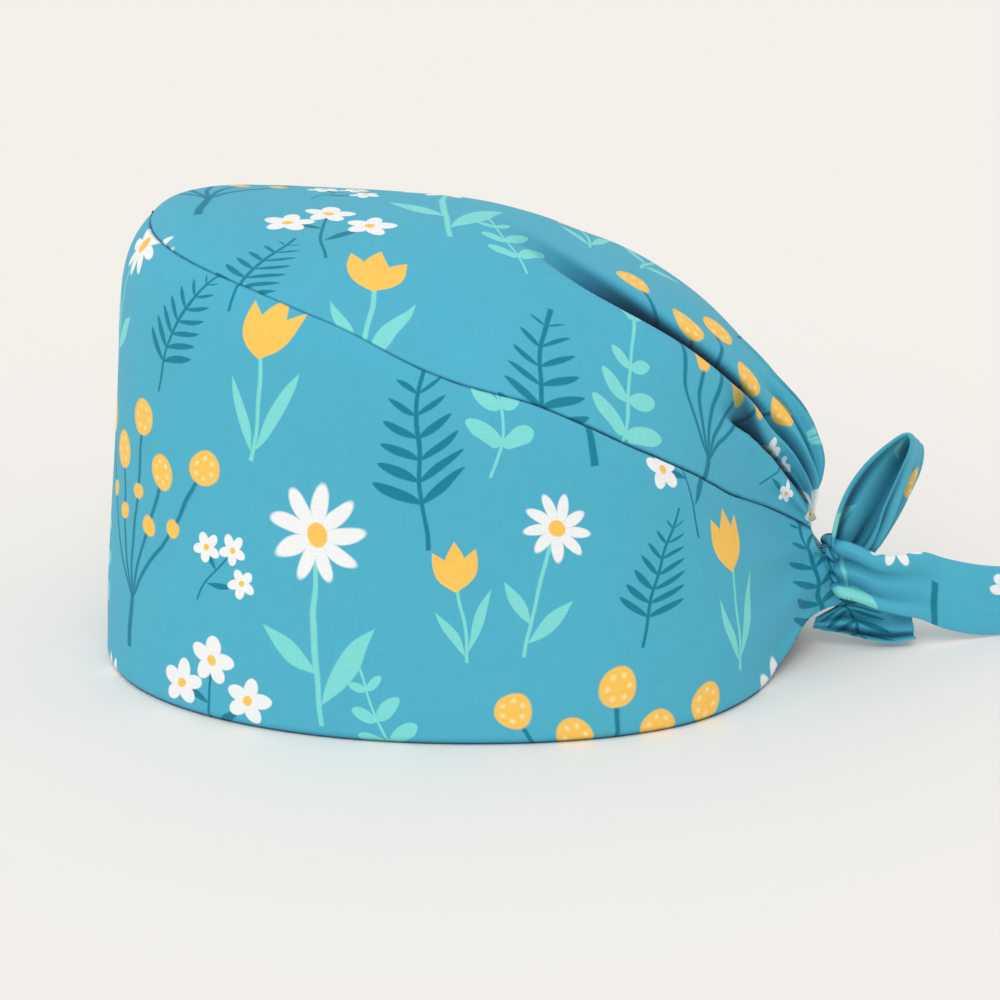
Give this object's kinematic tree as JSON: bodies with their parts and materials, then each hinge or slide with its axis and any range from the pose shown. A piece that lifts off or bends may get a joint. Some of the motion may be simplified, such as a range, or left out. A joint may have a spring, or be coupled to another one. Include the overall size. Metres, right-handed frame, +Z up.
{
  "type": "surgical scrub cap",
  "caption": "Tie-back surgical scrub cap of printed cotton: a tall side band, a soft domed crown gathered at the nape, and ties knotted in a half bow.",
  "frame": {"origin": "middle of the object's box seen from above, on the surface that the hem stands on", "axes": "+X from the forehead back to the ties, +Y to the wearer's right, +Z up towards the crown"},
  "size_m": [0.3512, 0.174, 0.1529],
  "materials": {
    "printed_cotton": "matt plain-weave cotton, turquoise, printed with a floral pattern",
    "tie_cotton": "matt plain-weave cotton, the same printed cloth folded into flat straps"
  },
  "bodies": {
    "root": {"side_band": "printed_cotton", "crown": "printed_cotton", "tie_knot": "tie_cotton", "bow_loop": "tie_cotton", "long_tail": "tie_cotton", "short_tail": "tie_cotton"}
  },
  "joints": []
}
